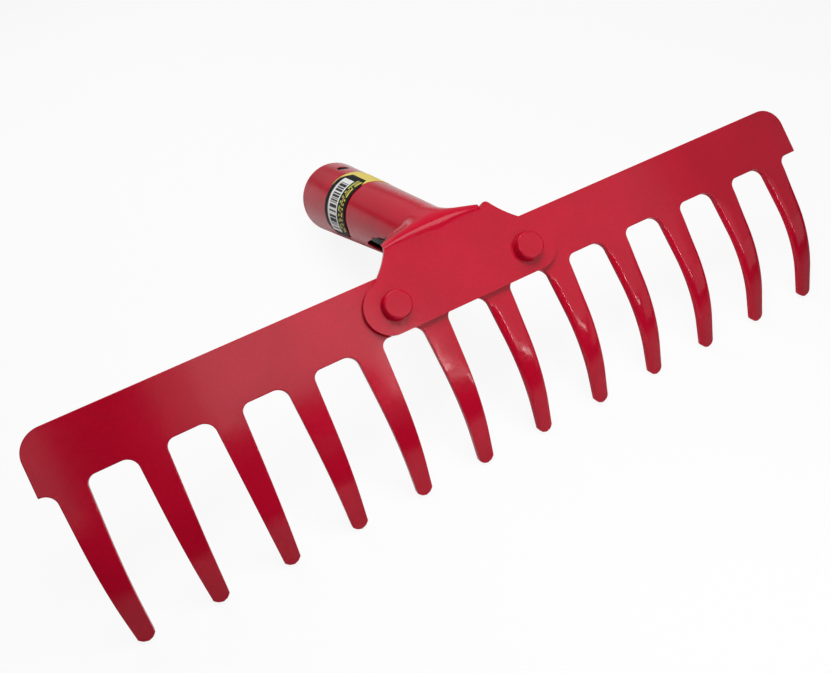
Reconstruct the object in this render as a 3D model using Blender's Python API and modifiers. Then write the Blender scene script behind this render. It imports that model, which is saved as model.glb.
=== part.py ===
"""Garden rake head: a stamped comb of twelve curved teeth, riveted to a sheet bracket rolled into a socket.

The head is drawn in its plate frame first. X runs along the bar, Z up across it, and Y points to the
back, where the teeth and the socket bend to. The front face of the bar is the plane y = 0, the line of
the gap roots is z = 0, and x = 0 is halfway between the middle teeth. An empty then lays the head down
as it rests on a floor, front face up, on its tooth points and the rim of the socket.
"""

import math

import bmesh
import bpy
from mathutils import Matrix, Vector

MM = 0.001

# Sheets and clearances
COMB_THICKNESS = 3.0 * MM
BRACKET_THICKNESS = 2.5 * MM
LABEL_THICKNESS = 0.3 * MM
SEAT_GAP = 0.3 * MM
EDGE_ROUNDING = 0.5 * MM
MERGE_DISTANCE = 0.01 * MM
CUTTER_REACH = 4.0

# Bar of the comb
TOOTH_COUNT = 12
TOOTH_PITCH = 30.0 * MM
BAR_HEIGHT = 23.8 * MM
BAR_END_LEFT = 11.1 * MM
BAR_END_RIGHT = 15.0 * MM
BAR_CORNER_RADIUS = 10.0 * MM
ROOT_FILLET = 4.5 * MM

# Teeth, measured along the middle of the sheet from the root line
TOOTH_ROOT_WIDTH = 11.8 * MM
TOOTH_TIP_WIDTH = 6.6 * MM
TOOTH_LENGTH = 68.6 * MM
TOOTH_STRAIGHT = 20.0 * MM
TOOTH_BEND_RADIUS = 64.0 * MM
TOOTH_BEND_ANGLE = math.radians(31.1)
TOOTH_POINT_DEPTH = 2.5 * MM

# Flange of the bracket
BRACKET_X = 3.3 * MM
RIVET_SPACING = 62.2 * MM
RIVET_HEIGHT = 10.4 * MM
EAR_RADIUS = 11.1 * MM
EAR_SHIFT = 2.4 * MM
EAR_JOIN_ANGLE = math.radians(72.0)
SHOULDER_HALF_WIDTH = 21.8 * MM
SHOULDER_HEIGHT = 34.8 * MM
SHOULDER_RADIUS = 2.2 * MM
SHOULDER_FLANK_ANGLE = math.radians(165.0)
SHOULDER_END_ANGLE = math.radians(35.0)
SIDE_HOLLOW = 0.9 * MM

# Bend from the flange to the neck
NECK_REACH_LEFT = 26.0 * MM
NECK_REACH_RIGHT = 18.0 * MM
BEND_CORNER = 36.6 * MM
BEND_CORNER_DROP = 2.8 * MM
BEND_LEG_MIDDLE = 5.0 * MM
BEND_LEG_SIDE = 1.4 * MM

# Rolled socket, measured along its axis from the corner of the bend
SOCKET_ANGLE = math.radians(64.6)
SOCKET_LENGTH = 141.0 * MM
SOCKET_NECK_DIAMETER = 25.8 * MM
SOCKET_MOUTH_DIAMETER = 38.6 * MM
MOUTH_TRIM = 1.0 * MM
SEAM_GAP = 1.4 * MM
HANDLE_HOLE_DIAMETER = 6.5 * MM
HANDLE_HOLE_DISTANCE = 122.0 * MM
HANDLE_HOLE_ANGLE = math.radians(12.0)

# Neck of the socket, open on both sides, where the flared sheet turns into the roll
VALLEY_START = 16.0 * MM
VALLEY_END = 30.0 * MM
VALLEY_FROM_ANGLE = math.radians(45.0)
VALLEY_HALF_ANGLE = math.radians(80.0)
NECK_END = 46.0 * MM
NECK_HALF_ANGLE = math.radians(90.0)
WINDOW_END = 58.0 * MM
WINDOW_BACK_ANGLE = math.radians(112.0)
WINDOW_LOW_ANGLE = math.radians(132.0)
WING_START = 40.0 * MM

# Rivets
RIVET_SHANK_DIAMETER = 8.0 * MM
RIVET_HOLE_CLEARANCE = 0.3 * MM
RIVET_HEAD_DIAMETER = 12.8 * MM
RIVET_HEAD_TOP_DIAMETER = 11.6 * MM
RIVET_HEAD_HEIGHT = 4.2 * MM
RIVET_HEAD_ROUNDING = 0.8 * MM
RIVET_TAIL_DIAMETER = 12.0 * MM
RIVET_TAIL_HEIGHT = 2.2 * MM

# Label
LABEL_START = 77.0 * MM
LABEL_END = 105.5 * MM
LABEL_FROM_ANGLE = math.radians(-112.0)
LABEL_TO_ANGLE = math.radians(68.0)
LABEL_CORNER = 4.0 * MM

# Facet counts
FILLET_STEPS = 5
CORNER_STEPS = 8
TOOTH_BEND_STEPS = 9
EAR_STEPS = 12
SHOULDER_STEPS = 5
SIDE_STEPS = 4
NECK_COLUMNS = 16
WING_COLUMNS = 14
BEND_ROWS = 5
FLARE_ROWS = 2
NECK_ROWS = 4
SOCKET_ROWS = 10
ROUND_STEPS = 40
LABEL_COLUMNS = 20

RED_PAINT = (0.50, 0.022, 0.035, 1.0)
LABEL_BLACK = (0.010, 0.011, 0.012, 1.0)

COMB_MIDDLE_Y = COMB_THICKNESS / 2
FLANGE_MIDDLE_Y = -SEAT_GAP - BRACKET_THICKNESS / 2
FLANGE_FRONT_Y = -SEAT_GAP - BRACKET_THICKNESS

SOCKET_AXIS = Vector((0.0, math.sin(SOCKET_ANGLE), math.cos(SOCKET_ANGLE)))
SOCKET_TOP = Vector((0.0, -math.cos(SOCKET_ANGLE), math.sin(SOCKET_ANGLE)))
SIDEWAYS = Vector((1.0, 0.0, 0.0))
BACKWARDS = Vector((0.0, 1.0, 0.0))
BEND_POINT = Vector((BRACKET_X, FLANGE_MIDDLE_Y, BEND_CORNER))


def clear_scene():
    for item in list(bpy.data.objects):
        bpy.data.objects.remove(item, do_unlink=True)


def new_collection(name):
    collection = bpy.data.collections.new(name)
    bpy.context.scene.collection.children.link(collection)
    return collection


def make_material(name, colour, roughness, metallic):
    material = bpy.data.materials.new(name)
    material.use_nodes = True
    shader = material.node_tree.nodes["Principled BSDF"]
    shader.inputs["Base Color"].default_value = colour
    shader.inputs["Roughness"].default_value = roughness
    shader.inputs["Metallic"].default_value = metallic
    return material


def add_object(name, mesh, collection, material=None, parent=None):
    item = bpy.data.objects.new(name, mesh)
    collection.objects.link(item)
    if material is not None:
        mesh.materials.append(material)
    item.parent = parent
    return item


def mesh_from(bm, name, sharp_angle=math.radians(35.0)):
    """Turn a bmesh into a mesh that is shaded smooth except at its sharp edges."""
    mesh = bpy.data.meshes.new(name)
    bm.to_mesh(mesh)
    bm.free()
    mesh.shade_smooth()
    mesh.set_sharp_from_angle(angle=sharp_angle)
    return mesh


def loft(bm, rows):
    """Skin rows of vertices that all hold the same number of points."""
    for upper, lower in zip(rows, rows[1:]):
        for column in range(len(upper) - 1):
            bm.faces.new((upper[column], upper[column + 1], lower[column + 1], lower[column]))


def arc(centre, radius, start, end, steps):
    """Points of an arc in the X-Z plane, both ends included."""
    points = []
    for step in range(steps + 1):
        angle = start + (end - start) * step / steps
        points.append((centre[0] + radius * math.cos(angle), centre[1] + radius * math.sin(angle)))
    return points


def add_thickness(item, thickness):
    """Thicken a middle surface evenly to both sides."""
    solidify = item.modifiers.new("thickness", "SOLIDIFY")
    solidify.thickness = thickness
    solidify.offset = 0.0
    solidify.use_even_offset = True
    solidify.use_quality_normals = True


def round_edges(item, width):
    """Round the sheet's cut edges."""
    bevel = item.modifiers.new("rounded_edges", "BEVEL")
    bevel.width = width
    bevel.segments = 2
    bevel.limit_method = "ANGLE"
    bevel.angle_limit = math.radians(50.0)


def cut_round(item, name, centre, direction, diameter, length, cutters, parent):
    """Take a cylinder that lies on the given axis, about its centre, out of an object."""
    bm = bmesh.new()
    bmesh.ops.create_cone(
        bm, cap_ends=True, segments=ROUND_STEPS, radius1=diameter / 2, radius2=diameter / 2, depth=length
    )
    turn = Vector((0.0, 0.0, 1.0)).rotation_difference(direction).to_matrix().to_4x4()
    bmesh.ops.transform(bm, matrix=Matrix.Translation(centre) @ turn, verts=bm.verts)
    cutter = add_object(name, mesh_from(bm, name), cutters, parent=parent)
    cutter.hide_render = True
    cutter.display_type = "WIRE"
    boolean = item.modifiers.new(name, "BOOLEAN")
    boolean.operation = "DIFFERENCE"
    boolean.solver = "EXACT"
    boolean.object = cutter


def cut_rivet_holes(item, prefix, cutters, parent):
    """Cut both rivet holes through a sheet, clear of the shanks."""
    diameter = RIVET_SHANK_DIAMETER + 2 * RIVET_HOLE_CLEARANCE
    depth = CUTTER_REACH * (COMB_THICKNESS + BRACKET_THICKNESS)
    for side, centre in rivet_centres().items():
        cut_round(item, prefix + side, centre, BACKWARDS, diameter, depth, cutters, parent)


def rivet_centres():
    """Places of the two rivets on the front plane of the bar."""
    return {
        "left": Vector((BRACKET_X - RIVET_SPACING / 2, 0.0, RIVET_HEIGHT)),
        "right": Vector((BRACKET_X + RIVET_SPACING / 2, 0.0, RIVET_HEIGHT)),
    }


def tooth_half_width(distance):
    share = distance / TOOTH_LENGTH
    return (TOOTH_ROOT_WIDTH + (TOOTH_TIP_WIDTH - TOOTH_ROOT_WIDTH) * share) / 2


def tooth_path(distance):
    """Y and Z of the tooth's middle surface at a distance from the root line, along the curve."""
    turned = min(max((distance - TOOTH_STRAIGHT) / TOOTH_BEND_RADIUS, 0.0), TOOTH_BEND_ANGLE)
    beyond = max(distance - TOOTH_STRAIGHT - TOOTH_BEND_RADIUS * TOOTH_BEND_ANGLE, 0.0)
    y = TOOTH_BEND_RADIUS * (1.0 - math.cos(turned)) + beyond * math.sin(TOOTH_BEND_ANGLE)
    z = -min(distance, TOOTH_STRAIGHT) - TOOTH_BEND_RADIUS * math.sin(turned)
    z -= beyond * math.cos(TOOTH_BEND_ANGLE)
    return COMB_MIDDLE_Y + y, z


def tooth_centres():
    first = -(TOOTH_COUNT - 1) / 2 * TOOTH_PITCH
    return [first + number * TOOTH_PITCH for number in range(TOOTH_COUNT)]


def bar_outline():
    """Outline of the bar down to the foot of the root fillets, and where each tooth starts in it."""
    centres = tooth_centres()
    left = centres[0] - BAR_END_LEFT
    right = centres[-1] + BAR_END_RIGHT
    corner_height = BAR_HEIGHT - BAR_CORNER_RADIUS
    foot = tooth_half_width(ROOT_FILLET)
    points = arc((right - BAR_CORNER_RADIUS, corner_height), BAR_CORNER_RADIUS, 0.0, math.pi / 2, CORNER_STEPS)
    points += arc((left + BAR_CORNER_RADIUS, corner_height), BAR_CORNER_RADIUS, math.pi / 2, math.pi, CORNER_STEPS)
    starts = []
    points.append((left, 0.0))
    for centre in centres:
        reach = foot + ROOT_FILLET
        points += arc((centre - reach, -ROOT_FILLET), ROOT_FILLET, math.pi / 2, 0.0, FILLET_STEPS)
        starts.append(len(points) - 1)
        points.append((centre, -ROOT_FILLET))
        points += arc((centre + reach, -ROOT_FILLET), ROOT_FILLET, math.pi, math.pi / 2, FILLET_STEPS)
    points.append((right, 0.0))
    return points, starts


def tooth_stations():
    """Distances along a tooth where it gets a row of points, from the fillets to the foot of its point."""
    bend_end = TOOTH_STRAIGHT + TOOTH_BEND_RADIUS * TOOTH_BEND_ANGLE
    stations = [TOOTH_STRAIGHT]
    for step in range(1, TOOTH_BEND_STEPS + 1):
        stations.append(TOOTH_STRAIGHT + (bend_end - TOOTH_STRAIGHT) * step / TOOTH_BEND_STEPS)
    stations.append(TOOTH_LENGTH - TOOTH_POINT_DEPTH)
    return stations


def add_tooth(bm, centre, first_row):
    """Loft one tooth down from the bar, along its bend, and close it with a point."""
    rows = [first_row]
    for distance in tooth_stations():
        y, z = tooth_path(distance)
        half = tooth_half_width(distance)
        rows.append([bm.verts.new((centre + side * half, y, z)) for side in (-1.0, 0.0, 1.0)])
    loft(bm, rows)
    y, z = tooth_path(TOOTH_LENGTH)
    point = bm.verts.new((centre, y, z))
    left, middle, right = rows[-1]
    bm.faces.new((left, middle, point))
    bm.faces.new((middle, right, point))


def make_toothed_head(collection, cutters, material, parent):
    """Stamp the comb: a flat bar face, a lofted tooth under it at every pitch, then the sheet's thickness."""
    bm = bmesh.new()
    points, starts = bar_outline()
    ring = [bm.verts.new((x, COMB_MIDDLE_Y, z)) for x, z in points]
    bm.faces.new(ring)
    for centre, start in zip(tooth_centres(), starts):
        add_tooth(bm, centre, ring[start:start + 3])
    bmesh.ops.recalc_face_normals(bm, faces=bm.faces)
    head = add_object("toothed_head", mesh_from(bm, "toothed_head"), collection, material, parent)
    add_thickness(head, COMB_THICKNESS)
    round_edges(head, EDGE_ROUNDING)
    cut_rivet_holes(head, "comb_hole_", cutters, parent)
    return head


def socket_radius(distance):
    """Radius of the middle of the socket's wall at a distance from the bend."""
    taper = (SOCKET_MOUTH_DIAMETER - SOCKET_NECK_DIAMETER) / 2 / SOCKET_LENGTH
    return SOCKET_NECK_DIAMETER / 2 + taper * distance - BRACKET_THICKNESS / 2


def socket_centre(distance):
    """Point on the socket's axis."""
    return BEND_POINT - SOCKET_TOP * socket_radius(0.0) + SOCKET_AXIS * distance


def socket_point(angle, distance, lift=0.0):
    """Point of the rolled wall: angle 0 is its top line, which runs straight back from the bend."""
    radius = socket_radius(distance) + lift
    return socket_centre(distance) + radius * (math.cos(angle) * SOCKET_TOP + math.sin(angle) * SIDEWAYS)


def smooth_step(value, low, high):
    """Ease from 0 at a low value to 1 at a high value."""
    share = min(max((value - low) / (high - low), 0.0), 1.0)
    return share * share * (3.0 - 2.0 * share)


def wrap_front(angle):
    """Distance where the wrap starts at an angle: back from the neck round the window, then forward again."""
    back = smooth_step(abs(angle), NECK_HALF_ANGLE, WINDOW_BACK_ANGLE)
    forward = smooth_step(abs(angle), WINDOW_BACK_ANGLE, WINDOW_LOW_ANGLE)
    return NECK_END + (WINDOW_END - NECK_END) * back - (WINDOW_END - WING_START) * forward


def quadratic(start, control, end, share):
    """Point of a quadratic Bezier curve."""
    rest = 1.0 - share
    return rest * rest * start + 2.0 * rest * share * control + share * share * end


def bend_corner(across):
    """Sharp corner that the bend is rounded from, at a share across the neck from -1 to 1."""
    height = BEND_CORNER - BEND_CORNER_DROP * across * across
    reach = NECK_REACH_LEFT if across < 0.0 else NECK_REACH_RIGHT
    return Vector((BRACKET_X + reach * across, FLANGE_MIDDLE_Y, height))


def bend_leg(across):
    """Length of the bend before and after its corner."""
    return BEND_LEG_MIDDLE + (BEND_LEG_SIDE - BEND_LEG_MIDDLE) * abs(across)


def valley(across):
    """Distance and angle where the flared sheet meets the round of the neck."""
    angle = VALLEY_HALF_ANGLE * across
    back = max(abs(angle) - VALLEY_FROM_ANGLE, 0.0) / (VALLEY_HALF_ANGLE - VALLEY_FROM_ANGLE)
    return VALLEY_START + (VALLEY_END - VALLEY_START) * back * math.sqrt(back), angle


def neck_column(across):
    """Points of one column of the sheet: round the bend, up the flare to the valley and along the neck."""
    corner = bend_corner(across)
    distance, angle = valley(across)
    foot = socket_point(angle, distance)
    leg = bend_leg(across)
    onwards = (foot - corner).normalized()
    start = corner - Vector((0.0, 0.0, leg))
    end = corner + onwards * leg
    points = [quadratic(start, corner, end, row / BEND_ROWS) for row in range(BEND_ROWS)]
    points += [end.lerp(foot, row / FLARE_ROWS) for row in range(FLARE_ROWS)]
    for row in range(NECK_ROWS):
        share = row / NECK_ROWS
        turned = angle + (NECK_HALF_ANGLE * across - angle) * share
        points.append(socket_point(turned, distance + (NECK_END - distance) * share))
    return points


def neck_rows(bm):
    """Rows of points across the neck, from the flange's flat to where the wrap begins."""
    columns = [neck_column(2.0 * column / NECK_COLUMNS - 1.0) for column in range(NECK_COLUMNS + 1)]
    return [[bm.verts.new(point) for point in row] for row in zip(*columns)]


def wrap_angles(distance):
    """Angles of the columns of the full wrap, from one side of the seam round to the other."""
    last = math.pi - SEAM_GAP / 2 / socket_radius(distance)
    wing = [NECK_HALF_ANGLE + (last - NECK_HALF_ANGLE) * step / WING_COLUMNS for step in range(1, WING_COLUMNS + 1)]
    middle = [NECK_HALF_ANGLE * (2.0 * column / NECK_COLUMNS - 1.0) for column in range(NECK_COLUMNS + 1)]
    return [-angle for angle in reversed(wing)] + middle + wing


def wrap_rows(bm):
    """Rows of points round the socket, from the swept front edge of the wrap to just past the mouth."""
    rows = []
    end = SOCKET_LENGTH + MOUTH_TRIM
    for row in range(SOCKET_ROWS + 1):
        share = row / SOCKET_ROWS
        vertices = []
        for angle in wrap_angles(WINDOW_END + (end - WINDOW_END) * share):
            front = wrap_front(angle)
            vertices.append(bm.verts.new(socket_point(angle, front + (end - front) * share)))
        rows.append(vertices)
    return rows


def shoulder_outline():
    """Outline of the rounded shoulder that stands beside the neck on the right."""
    centre = (SHOULDER_HALF_WIDTH, SHOULDER_HEIGHT - SHOULDER_RADIUS)
    return arc(centre, SHOULDER_RADIUS, SHOULDER_FLANK_ANGLE, SHOULDER_END_ANGLE, SHOULDER_STEPS)


def side_outline(upper):
    """Outline of a side of the flange from its upper end down its hollow and round the ear."""
    ear = (RIVET_SPACING / 2 + EAR_SHIFT, RIVET_HEIGHT)
    round_ear = arc(ear, EAR_RADIUS, EAR_JOIN_ANGLE, -math.pi / 2, EAR_STEPS)
    upper = Vector(upper)
    lower = Vector(round_ear[0])
    along = (lower - upper).normalized()
    inwards = Vector((along.y, -along.x))
    control = (upper + lower) / 2 + inwards * 2 * SIDE_HOLLOW
    hollow = [quadratic(upper, control, lower, step / SIDE_STEPS) for step in range(1, SIDE_STEPS)]
    return hollow + round_ear


def add_flange(bm, top_row):
    """Flat face of the flange under the first row of the bend."""
    shoulder = shoulder_outline()
    right = shoulder + side_outline(shoulder[-1])
    left = side_outline((NECK_REACH_LEFT, BEND_CORNER - BEND_CORNER_DROP - BEND_LEG_SIDE))
    outline = [(BRACKET_X + x, z) for x, z in right] + [(BRACKET_X - x, z) for x, z in reversed(left)]
    bm.faces.new(top_row + [bm.verts.new((x, FLANGE_MIDDLE_Y, z)) for x, z in outline])


def trim_mouth(bracket, cutters, parent):
    """Trim the rolled end square to its axis, so that the mouth is a flat ring."""
    width = 2 * SOCKET_MOUTH_DIAMETER
    centre = socket_centre(SOCKET_LENGTH) + SOCKET_AXIS * width / 2
    cut_round(bracket, "mouth_trim", centre, SOCKET_AXIS, width, width, cutters, parent)


def make_socket_bracket(collection, cutters, material, parent):
    """Fold and roll the bracket from one sheet: flat flange, bend, open neck and wrapped socket."""
    bm = bmesh.new()
    neck = neck_rows(bm)
    wrap = wrap_rows(bm)
    add_flange(bm, neck[0])
    first = WING_COLUMNS
    loft(bm, neck + [wrap[0][first:first + NECK_COLUMNS + 1]])
    loft(bm, wrap)
    bmesh.ops.recalc_face_normals(bm, faces=bm.faces)
    bracket = add_object("socket_bracket", mesh_from(bm, "socket_bracket"), collection, material, parent)
    add_thickness(bracket, BRACKET_THICKNESS)
    trim_mouth(bracket, cutters, parent)
    round_edges(bracket, EDGE_ROUNDING)
    cut_rivet_holes(bracket, "flange_hole_", cutters, parent)
    wall = socket_point(HANDLE_HOLE_ANGLE, HANDLE_HOLE_DISTANCE)
    outwards = math.cos(HANDLE_HOLE_ANGLE) * SOCKET_TOP + math.sin(HANDLE_HOLE_ANGLE) * SIDEWAYS
    depth = SOCKET_MOUTH_DIAMETER / 2
    cut_round(bracket, "handle_screw_hole", wall, outwards, HANDLE_HOLE_DIAMETER, depth, cutters, parent)
    return bracket


def rivet_profile():
    """Half section of a rivet, radius and height, from the flat front head to the formed tail."""
    front = FLANGE_FRONT_Y - SEAT_GAP
    back = COMB_THICKNESS + SEAT_GAP
    top = front - RIVET_HEAD_HEIGHT
    top_radius = RIVET_HEAD_TOP_DIAMETER / 2
    round_centre = (top_radius - RIVET_HEAD_ROUNDING, -top - RIVET_HEAD_ROUNDING)
    points = [(0.0, -top)]
    points += arc(round_centre, RIVET_HEAD_ROUNDING, math.pi / 2, 0.0, FILLET_STEPS)
    points.append((RIVET_HEAD_DIAMETER / 2, -front))
    points.append((RIVET_SHANK_DIAMETER / 2, -front))
    points.append((RIVET_SHANK_DIAMETER / 2, -back))
    tail_radius = RIVET_TAIL_DIAMETER / 2
    for step in range(FILLET_STEPS + 1):
        angle = math.pi / 2 * step / FILLET_STEPS
        points.append((tail_radius * math.cos(angle), -back - RIVET_TAIL_HEIGHT * math.sin(angle)))
    return points


def make_rivet(side, centre, collection, material, parent):
    """Turn one rivet about its own axis with a Screw modifier, then lay that axis across the sheets."""
    bm = bmesh.new()
    vertices = [bm.verts.new((radius, 0.0, height)) for radius, height in rivet_profile()]
    for start, end in zip(vertices, vertices[1:]):
        bm.edges.new((start, end))
    rivet = add_object("rivet_" + side, mesh_from(bm, "rivet_" + side), collection, material, parent)
    rivet.location = centre
    rivet.rotation_euler = (math.pi / 2, 0.0, 0.0)
    screw = rivet.modifiers.new("turned", "SCREW")
    screw.steps = ROUND_STEPS
    screw.render_steps = ROUND_STEPS
    screw.use_merge_vertices = True
    screw.merge_threshold = MERGE_DISTANCE
    screw.use_smooth_shade = True
    return rivet


def label_end_inset(share):
    """How far the label's cut corners draw its ends in at a share of its width."""
    width = LABEL_END - LABEL_START
    from_edge = min(share, 1.0 - share) * width
    return max(LABEL_CORNER - from_edge, 0.0)


def make_label(collection, material, parent):
    """Wrap the label round the socket as a thin sleeve with cut corners, clear of the wall."""
    lift = BRACKET_THICKNESS / 2 + SEAT_GAP + LABEL_THICKNESS / 2
    corner_share = LABEL_CORNER / (LABEL_END - LABEL_START)
    bm = bmesh.new()
    rows = []
    for share in (0.0, corner_share, 0.5, 1.0 - corner_share, 1.0):
        distance = LABEL_START + (LABEL_END - LABEL_START) * share
        inset = label_end_inset(share) / socket_radius(distance)
        first = LABEL_FROM_ANGLE + inset
        last = LABEL_TO_ANGLE - inset
        row = []
        for column in range(LABEL_COLUMNS + 1):
            angle = first + (last - first) * column / LABEL_COLUMNS
            row.append(bm.verts.new(socket_point(angle, distance, lift)))
        rows.append(row)
    loft(bm, rows)
    bmesh.ops.recalc_face_normals(bm, faces=bm.faces)
    label = add_object("socket_label", mesh_from(bm, "socket_label"), collection, material, parent)
    add_thickness(label, LABEL_THICKNESS)
    return label


def evaluated_points(item):
    """Corners of an object as its modifiers leave it, in world coordinates."""
    graph = bpy.context.evaluated_depsgraph_get()
    shape = item.evaluated_get(graph)
    return [item.matrix_world @ vertex.co for vertex in shape.data.vertices]


def lowest(points, angle):
    """Least height of some points once the head is turned about X by an angle."""
    return min(point.y * math.sin(angle) + point.z * math.cos(angle) for point in points)


def resting_angle(head, bracket):
    """Turn about X at which the tooth points and the socket's rim touch the same floor."""
    tooth_points = evaluated_points(head)
    rim_points = evaluated_points(bracket)
    low = -math.pi / 2
    high = 0.0
    for _ in range(50):
        middle = (low + high) / 2
        if lowest(tooth_points, middle) > lowest(rim_points, middle):
            low = middle
        else:
            high = middle
    return (low + high) / 2


def lay_down(frame, head, bracket):
    """Rest the head on the floor with its box centred over the origin."""
    bpy.context.view_layer.update()
    frame.rotation_euler = (resting_angle(head, bracket), 0.0, 0.0)
    bpy.context.view_layer.update()
    points = evaluated_points(head) + evaluated_points(bracket)
    xs = [point.x for point in points]
    ys = [point.y for point in points]
    frame.location = (-(min(xs) + max(xs)) / 2, -(min(ys) + max(ys)) / 2, -min(point.z for point in points))
    bpy.context.view_layer.update()


def main():
    clear_scene()
    collection = new_collection("garden_rake_head")
    cutters = new_collection("cutters")
    frame = bpy.data.objects.new("plate_frame", None)
    collection.objects.link(frame)
    paint = {
        name: make_material(name + "_paint", RED_PAINT, 0.28, 0.0)
        for name in ("toothed_head", "socket_bracket", "rivet_left", "rivet_right")
    }
    head = make_toothed_head(collection, cutters, paint["toothed_head"], frame)
    bracket = make_socket_bracket(collection, cutters, paint["socket_bracket"], frame)
    for side, centre in rivet_centres().items():
        make_rivet(side, centre, collection, paint["rivet_" + side], frame)
    make_label(collection, make_material("label_print", LABEL_BLACK, 0.35, 0.0), frame)
    lay_down(frame, head, bracket)


main()
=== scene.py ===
"""Garden rake head in glossy red enamel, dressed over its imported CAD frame.

The head is a stamped comb of twelve curved teeth, a bracket that is folded and rolled from one sheet,
two rivets and a printed label. Each piece is shaped in the plate frame: X runs along the bar, Z up across
it and Y to the back, the front face of the bar is the plane y = 0 and the roots of the gaps lie on z = 0.
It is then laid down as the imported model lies, on its tooth points and the rim of its socket.
"""

from __future__ import annotations

import logging
import math
from dataclasses import dataclass, replace
from enum import Enum
from typing import Callable, Iterable, Sequence

import bmesh
import bpy
from mathutils import Matrix, Vector


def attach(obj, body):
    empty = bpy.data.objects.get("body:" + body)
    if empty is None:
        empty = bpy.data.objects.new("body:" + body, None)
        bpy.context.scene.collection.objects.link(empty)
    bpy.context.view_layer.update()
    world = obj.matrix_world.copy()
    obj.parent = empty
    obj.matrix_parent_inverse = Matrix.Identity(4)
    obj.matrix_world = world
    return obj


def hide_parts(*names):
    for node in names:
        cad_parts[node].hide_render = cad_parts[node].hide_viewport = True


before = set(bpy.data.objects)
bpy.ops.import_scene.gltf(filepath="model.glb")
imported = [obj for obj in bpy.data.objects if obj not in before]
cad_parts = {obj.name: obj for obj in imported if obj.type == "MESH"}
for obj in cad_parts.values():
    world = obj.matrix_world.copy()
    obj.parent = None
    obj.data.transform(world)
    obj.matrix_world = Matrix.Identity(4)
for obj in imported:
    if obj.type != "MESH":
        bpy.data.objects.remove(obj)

MM = 0.001
NEAR = 1e-6
WELD = 0.001 * MM
CUT_MARGIN = 1e-7
SHARP_ANGLE = math.radians(40.0)
LOG = logging.getLogger("garden_rake_head")
X_AXIS = Vector((1.0, 0.0, 0.0))
Y_AXIS = Vector((0.0, 1.0, 0.0))
Z_AXIS = Vector((0.0, 0.0, 1.0))

Shape = bmesh.types.BMesh
Vert = bmesh.types.BMVert
Edge = bmesh.types.BMEdge
Socket = bpy.types.NodeSocket
Piece = bpy.types.Object
Colour = tuple[float, float, float]
Pair = tuple[float, float]
Place = tuple[float, float, float]


class Side(Enum):
    """The two ends of the bracket's flange, or sides of a tooth, and their sign along X."""

    LEFT = -1.0
    RIGHT = 1.0


class Use(Enum):
    """What a lamp does: light surfaces, show in their gloss, or both."""

    BOTH = "both"
    DIFFUSE = "diffuse"
    GLOSS = "gloss"


class Film(Enum):
    """The two printed films of the label."""

    PLAIN = "plain"
    PRINTED = "printed"


@dataclass(frozen=True)
class PlateFrame:
    """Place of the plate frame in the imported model's frame."""

    turn: float = -math.atan2(0.742405, 0.669951)
    offset: Vector = Vector((-0.00195, -0.060871, 0.056939))

    def matrix(self) -> Matrix:
        """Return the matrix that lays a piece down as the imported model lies."""
        return Matrix.Translation(self.offset) @ Matrix.Rotation(self.turn, 4, "X")


PLATE = PlateFrame()


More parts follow.
